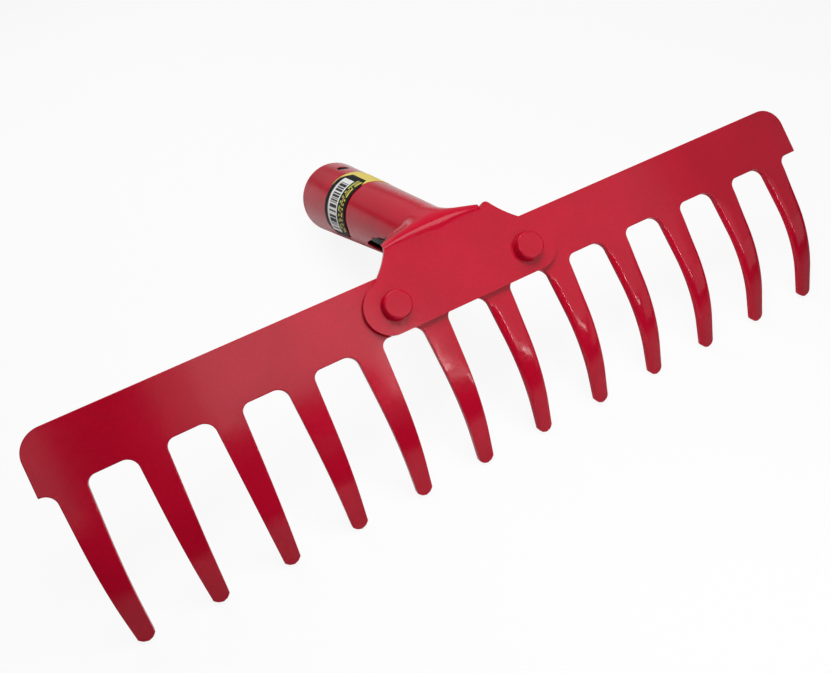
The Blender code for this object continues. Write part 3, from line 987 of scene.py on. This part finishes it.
@dataclass
class Rivet:
    """One rivet: a flat front head, a shank and a low formed tail, all under the paint."""

    side: Side
    bracket: SocketBracket
    head_diameter: float = 12.8 * MM
    top_diameter: float = 11.6 * MM
    head_height: float = 4.2 * MM
    head_rounding: float = 0.8 * MM
    rounding_steps: int = 4
    shank_diameter: float = 8.0 * MM
    tail_diameter: float = 12.0 * MM
    tail_height: float = 2.2 * MM
    tail_taper: float = 0.82
    comb_thickness: float = 3.0 * MM
    steps: int = 96
    finish: Enamel = Enamel("rivet_enamel")

    def section(self) -> list[Pair]:
        """Draw the rivet's half section.

        Returns:
            Its points as radius and depth, from the front head to the tail.
        """
        front = -self.bracket.seat_gap - self.bracket.sheet.thickness
        top = front - self.bracket.seat_gap - self.head_height
        back = self.comb_thickness
        end = back + self.tail_height
        tail = self.tail_diameter / 2
        return [
            (0.0, top), (self.top_diameter / 2, top), (self.head_diameter / 2, front),
            (self.shank_diameter / 2, front), (self.shank_diameter / 2, back),
            (tail, back), (tail * self.tail_taper, end), (0.0, end),
        ]

    def build(self) -> Piece:
        """Spin the rivet and set it in its hole.

        Returns:
            The finished rivet.
        """
        bm = bmesh.new()
        points = self.section()
        last = bmesh.ops.create_vert(bm, co=(*points[0], 0.0))["vert"][0]
        for point in points[1:]:
            last = bmesh.ops.extrude_vert_indiv(bm, verts=[last])["verts"][0]
            last.co = Vector((*point, 0.0))
        bmesh.ops.spin(
            bm, geom=bm.verts[:] + bm.edges[:], cent=(0, 0, 0), axis=Y_AXIS, angle=2 * math.pi,
            steps=self.steps, use_merge=True,
        )
        bmesh.ops.remove_doubles(bm, verts=bm.verts[:], dist=WELD)
        bmesh.ops.recalc_face_normals(bm, faces=bm.faces[:])
        across = self.bracket.x + self.side.value * self.bracket.rivet_spacing / 2
        bmesh.ops.translate(bm, vec=(across, 0.0, self.bracket.rivet_height), verts=bm.verts[:])
        name = "rivet_" + self.side.name.lower()
        rivet = make_piece(bm, "painted_" + name, self.finish.material())
        round_edges(rivet, self.head_rounding, self.rounding_steps)
        return settle(rivet, "rivet_paint", name)


@dataclass(frozen=True)
class LabelPrint:
    """Ink of one paper film: a plain ground, or one with a white bar panel and rows of coloured dashes.

    The film's own UV map gives u round the socket in metres and v along it from the label's lower edge.
    Each patch is given by its limits along u, then along v, and each row of dashes by its limits, ink and
    length of a dash.
    """

    name: str
    ground: Colour
    printed: bool
    panel: tuple[float, ...] = (2.5 * MM, 28.5 * MM, 11.0 * MM, 24.0 * MM)
    panel_ink: Colour = (0.80, 0.80, 0.78)
    bars: tuple[float, ...] = (4.0 * MM, 27.0 * MM, 12.5 * MM, 21.5 * MM)
    bar_ink: Colour = (0.03, 0.03, 0.035)
    bar_width: float = 0.36 * MM
    bar_share: float = 0.44
    rows: tuple[tuple[float, float, Colour, float], ...] = (
        (3.6 * MM, 5.0 * MM, (0.75, 0.70, 0.10), 1.0 * MM),
        (6.0 * MM, 7.0 * MM, (0.72, 0.46, 0.16), 0.8 * MM),
        (7.8 * MM, 9.2 * MM, (0.50, 0.62, 0.08), 1.2 * MM),
    )
    row_ends: Pair = (3.0 * MM, 30.0 * MM)
    dash_share: float = 0.60
    smudge_size: float = 6.0 * MM
    smudge_share: float = 0.35
    smudge_tone: Pair = (0.8, 0.004)
    gloss: float = 0.08
    roughness: float = 0.5
    crease_size: float = 5.0 * MM
    crease_height: float = 0.04 * MM
    crease_strength: float = 0.6

    def window(self, nodes: Nodes, value: Socket, low: float, high: float) -> Socket:
        """Return a socket that is 1 where a value lies between two limits and 0 elsewhere."""
        above = nodes.math("GREATER_THAN", value, low)
        return nodes.math("MULTIPLY", above, nodes.math("LESS_THAN", value, high))

    def patch(self, nodes: Nodes, place: Sequence[Socket], limits: Sequence[float]) -> Socket:
        """Return a socket that is 1 on a rectangle of the film and 0 elsewhere."""
        across = self.window(nodes, place[0], *limits[:2])
        return nodes.math("MULTIPLY", across, self.window(nodes, place[1], *limits[2:]))

    def cells(self, nodes: Nodes, value: Socket, width: float, share: float) -> Socket:
        """Pick a share of the cells of a width by chance, for bars and dashes of mixed lengths.

        Args:
            nodes: The material.
            value: Socket with the place along the row.
            width: Width of a cell.
            share: Share of the cells that are picked.

        Returns:
            Socket that is 1 in the picked cells and 0 elsewhere.
        """
        scatter = nodes.add("ShaderNodeTexWhiteNoise", noise_dimensions="1D")
        nodes.join(nodes.math("FLOOR", nodes.math("DIVIDE", value, width), 0.0), scatter.inputs["W"])
        return nodes.math("LESS_THAN", scatter.outputs["Value"], share)

    def material(self) -> bpy.types.Material:
        """Print the film.

        Returns:
            The film as a node material.
        """
        nodes = Nodes(bpy.data.materials.new(self.name))
        place = nodes.add("ShaderNodeTexCoord")
        smudge = nodes.spread(nodes.noise(place.outputs["Object"], self.smudge_size), 0.0, self.smudge_share)
        tone, lift = self.smudge_tone
        colour = nodes.blend(smudge, self.ground, tuple(tone * part + lift for part in self.ground))
        if self.printed:
            colour = self.print_panels(nodes, place.outputs["UV"], colour)
        shader = nodes.shade(colour, Roughness=self.roughness, Specular_IOR_Level=self.gloss)
        creases = nodes.noise(place.outputs["Object"], self.crease_size)
        nodes.bump(shader, creases, self.crease_height, self.crease_strength)
        return nodes.owner

    def print_panels(self, nodes: Nodes, place: Socket, ground: Socket) -> Socket:
        """Print the bar panel and the rows of dashes over the ground.

        Args:
            nodes: The material.
            place: Socket with the film's UV.
            ground: Socket with the ground's colour.

        Returns:
            Socket with the printed colour.
        """
        split = nodes.add("ShaderNodeSeparateXYZ")
        nodes.join(place, split.inputs[0])
        along_row = split.outputs[0]
        colour = nodes.blend(self.patch(nodes, split.outputs, self.panel), ground, self.panel_ink)
        stripe = self.cells(nodes, along_row, self.bar_width, self.bar_share)
        bars = nodes.math("MULTIPLY", stripe, self.patch(nodes, split.outputs, self.bars))
        colour = nodes.blend(bars, colour, self.bar_ink)
        for low, high, ink, step in self.rows:
            dash = self.cells(nodes, along_row, step, self.dash_share)
            row = self.patch(nodes, split.outputs, (*self.row_ends, low, high))
            colour = nodes.blend(nodes.math("MULTIPLY", dash, row), colour, ink)
        return colour


@dataclass
class SocketLabel:
    """One film of the label, wrapped round the socket: the plain yellow one or the black printed one."""

    bracket: SocketBracket
    film: Film
    finish: LabelPrint
    span: Pair
    angles: Pair
    corner: float
    lift: float
    columns: int = 72
    rows: int = 24
    sheet: EdgeFinish = EdgeFinish(0.12 * MM, 0.0)

    def cut_corners(self, bm: Shape, reach: float, width: float) -> None:
        """Cut the corners of the flat film at 45 degrees.

        Args:
            bm: The flat film.
            reach: Its length round the socket.
            width: Its width along the socket.
        """
        for x, y in ((0.0, 0.0), (reach, 0.0), (0.0, width), (reach, width)):
            outwards = Vector((1.0 if x else -1.0, 1.0 if y else -1.0, 0.0)).normalized()
            edge = Vector((x, y, 0.0)) - outwards * self.corner / math.sqrt(2.0)
            everything = bm.verts[:] + bm.edges[:] + bm.faces[:]
            bmesh.ops.bisect_plane(
                bm, geom=everything, dist=CUT_MARGIN, plane_co=edge, plane_no=outwards, clear_outer=True
            )

    def build(self) -> Piece:
        """Cut the film and wrap it round the socket.

        Returns:
            The finished film.
        """
        bm = bmesh.new()
        verts = bmesh.ops.create_grid(bm, x_segments=self.columns, y_segments=self.rows, size=0.5)["verts"]
        start, first_angle = self.span[0], self.angles[0]
        turn = self.angles[1] - first_angle
        reach = self.bracket.radius(start) * turn
        width = self.span[1] - start
        bmesh.ops.scale(bm, vec=(reach, width, 1.0), verts=verts)
        bmesh.ops.translate(bm, vec=(reach / 2, width / 2, 0.0), verts=verts)
        self.cut_corners(bm, reach, width)
        layer = bm.loops.layers.uv.new("wrap")
        for face in bm.faces:
            for loop in face.loops:
                loop[layer].uv = loop.vert.co.xy
        for vert in bm.verts:
            vert.co = self.bracket.wall(first_angle + turn * vert.co.x / reach, start + vert.co.y, self.lift)
        bmesh.ops.recalc_face_normals(bm, faces=bm.faces[:])
        film = make_piece(bm, "label_film_" + self.film.value, self.finish.material())
        self.sheet.apply(film)
        return settle(film, "label_film", "socket_label")


@dataclass(frozen=True)
class Viewpoint:
    """The photograph's camera, in the plate frame."""

    place: Vector = Vector((-113.653, -319.789, -5.117)) * MM
    right: Vector = Vector((0.87388704, -0.24019179, -0.42264564))
    up: Vector = Vector((0.40657801, -0.11547403, 0.90628917))
    lens: float = 35.73
    sensor: float = 36.0
    sight: Pair = (0.01, 20.0)

    def build(self) -> Piece:
        """Set up the camera.

        Returns:
            The camera, set as the scene's own.
        """
        data = bpy.data.cameras.new("camera")
        data.lens = self.lens
        data.sensor_width = self.sensor
        data.clip_start, data.clip_end = self.sight
        camera = bpy.data.objects.new("camera", data)
        bpy.context.scene.collection.objects.link(camera)
        turn = Matrix((self.right, self.up, self.right.cross(self.up))).transposed().to_4x4()
        camera.matrix_world = PLATE.matrix() @ Matrix.Translation(self.place) @ turn
        bpy.context.scene.camera = camera
        return camera


@dataclass(frozen=True)
class SoftBox:
    """One soft studio lamp, given in the plate frame.

    Its level is the brightness of its face, where 1 is white. Without an aim it faces straight back.
    """

    name: str
    place: Place
    size: Pair
    level: float
    use: Use = Use.BOTH
    turn: float = 0.0
    aim: Place | None = None

    def build(self) -> Piece:
        """Hang the lamp.

        Returns:
            The lamp.
        """
        data = bpy.data.lights.new(self.name, "AREA")
        data.shape = "RECTANGLE"
        data.size, data.size_y = self.size
        data.energy = self.level * math.pi * self.size[0] * self.size[1]
        lamp = bpy.data.objects.new(self.name, data)
        bpy.context.scene.collection.objects.link(lamp)
        aim = self.aim or (self.place[0], 0.0, self.place[2])
        turn = (Vector(aim) - Vector(self.place)).to_track_quat("-Z", "Y").to_matrix().to_4x4()
        own_turn = Matrix.Rotation(self.turn, 4, "Z")
        lamp.matrix_world = PLATE.matrix() @ Matrix.Translation(self.place) @ turn @ own_turn
        lamp.visible_camera = False
        lamp.visible_diffuse = self.use is not Use.GLOSS
        lamp.visible_glossy = self.use is not Use.DIFFUSE
        return lamp


@dataclass
class Studio:
    """A pale floor, lamps, and a world that is dim in front of the head and lighter behind it."""

    floor_size: float = 8.0
    floor_gap: float = 0.05 * MM
    floor_colour: Colour = (0.86, 0.86, 0.86)
    floor_glow: float = 0.9
    world_levels: Pair = (0.03, 0.50)
    world_span: Pair = (-0.2, 0.6)
    lamps: Sequence[SoftBox] = (
        SoftBox("front_window", (-0.032, -0.35, 0.043), (0.155, 0.105), 2.8),
        SoftBox("right_window", (0.198, -0.35, -0.018), (0.305, 0.225), 1.4, Use.GLOSS),
        SoftBox("far_right_window", (0.50, -0.35, -0.018), (0.30, 0.225), 0.7, Use.GLOSS),
        SoftBox("low_right_window", (0.46, -0.35, -0.24), (0.36, 0.21), 1.2, Use.GLOSS),
        SoftBox("far_left_window", (-0.31, -0.35, 0.04), (0.17, 0.14), 1.5, Use.GLOSS),
        SoftBox("low_rim", (0.155, -0.35, -0.135), (0.20, 0.024), 20.0, Use.GLOSS, math.radians(-38.0)),
        SoftBox("narrow_strip", (0.058, -0.352, -0.033), (0.011, 0.06), 50.0, Use.GLOSS),
        SoftBox("sparkle", (0.080, -0.352, -0.050), (0.010, 0.012), 30.0, Use.GLOSS),
        SoftBox("front_left_window", (-0.126, -0.35, 0.043), (0.032, 0.105), 1.2, Use.GLOSS),
        SoftBox("key", (0.02, -0.18, 0.11), (0.10, 0.06), 8.6, Use.DIFFUSE, aim=(0.005, 0.0, 0.01)),
        SoftBox("fill", (0.03, -0.22, -0.10), (0.20, 0.08), 3.2, Use.DIFFUSE, aim=(0.03, 0.0, -0.05)),
        SoftBox("front_top", (0.03, -0.35, 0.36), (0.40, 0.20), 4.4, aim=(0.03, 0.0, 0.0)),
        SoftBox("overhead", (-0.10, 0.05, 0.55), (0.35, 0.35), 2.1, aim=(0.0, 0.05, 0.0)),
    )

    def floor(self) -> Piece:
        """Lay the floor, a pale plane that looks nearly white and keeps the shadow.

        Returns:
            The floor.
        """
        bm = bmesh.new()
        bmesh.ops.create_grid(bm, x_segments=1, y_segments=1, size=self.floor_size / 2)
        bmesh.ops.translate(bm, vec=(0.0, 0.0, -self.floor_gap), verts=bm.verts[:])
        mesh = bpy.data.meshes.new("floor")
        bm.to_mesh(mesh)
        bm.free()
        floor = bpy.data.objects.new("floor", mesh)
        bpy.context.scene.collection.objects.link(floor)
        nodes = Nodes(bpy.data.materials.new("floor_paper"))
        paper = nodes.add("ShaderNodeBsdfDiffuse", Color=(*self.floor_colour, 1.0))
        glow = nodes.add("ShaderNodeEmission", Color=(1.0, 1.0, 1.0, 1.0), Strength=1.0)
        seen = nodes.add("ShaderNodeLightPath").outputs["Is Camera Ray"]
        mix = nodes.add("ShaderNodeMixShader")
        nodes.join(nodes.math("MULTIPLY", seen, self.floor_glow), mix.inputs[0])
        nodes.join(paper.outputs[0], mix.inputs[1])
        nodes.join(glow.outputs[0], mix.inputs[2])
        nodes.join(mix.outputs[0], nodes.add("ShaderNodeOutputMaterial").inputs["Surface"])
        mesh.materials.append(nodes.owner)
        return floor

    def world(self) -> None:
        """Light the scene evenly, with a world that looks white to the camera."""
        nodes = Nodes(bpy.data.worlds.new("studio_world"))
        bpy.context.scene.world = nodes.owner
        split = nodes.add("ShaderNodeSeparateXYZ")
        nodes.join(nodes.add("ShaderNodeTexCoord").outputs["Generated"], split.inputs[0])
        lit = nodes.spread(split.outputs[1], *self.world_levels, *self.world_span)
        level = nodes.add("ShaderNodeMapRange", To_Max=1.0)
        nodes.join(lit, level.inputs["To Min"])
        nodes.join(nodes.add("ShaderNodeLightPath").outputs["Is Camera Ray"], level.inputs["Value"])
        background = nodes.add("ShaderNodeBackground")
        nodes.join(level.outputs["Result"], background.inputs["Strength"])
        nodes.join(background.outputs[0], nodes.add("ShaderNodeOutputWorld").inputs["Surface"])

    def build(self) -> None:
        """Set up the floor, the world and the lamps."""
        bpy.context.scene.view_settings.view_transform = "Standard"
        self.floor()
        self.world()
        for lamp in self.lamps:
            lamp.build()


def main() -> None:
    """Build and dress the head, then light it and set up the camera."""
    logging.basicConfig(level=logging.INFO, format="%(message)s")
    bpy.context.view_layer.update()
    bracket = SocketBracket()
    yellow_film = SocketLabel(
        bracket, Film.PLAIN, LabelPrint("label_yellow_ink", (0.84, 0.68, 0.15), False),
        span=(78.5 * MM, 107.0 * MM), angles=(math.radians(-30.0), math.radians(68.0)),
        corner=1.0 * MM, lift=1.35 * MM,
    )
    black_film = SocketLabel(
        bracket, Film.PRINTED, LabelPrint("label_black_ink", (0.004, 0.004, 0.005), True),
        span=(77.0 * MM, 105.5 * MM), angles=(math.radians(-116.0), math.radians(6.0)),
        corner=5.0 * MM, lift=1.5 * MM,
    )
    rivets = [Rivet(side, bracket) for side in Side]
    for part in (ToothedComb(), bracket, *rivets, yellow_film, black_film):
        piece = part.build()
        LOG.info("%s: %d vertices before its modifiers", piece.name, len(piece.data.vertices))
    Viewpoint().build()
    Studio().build()


if __name__ == "__main__":
    main()
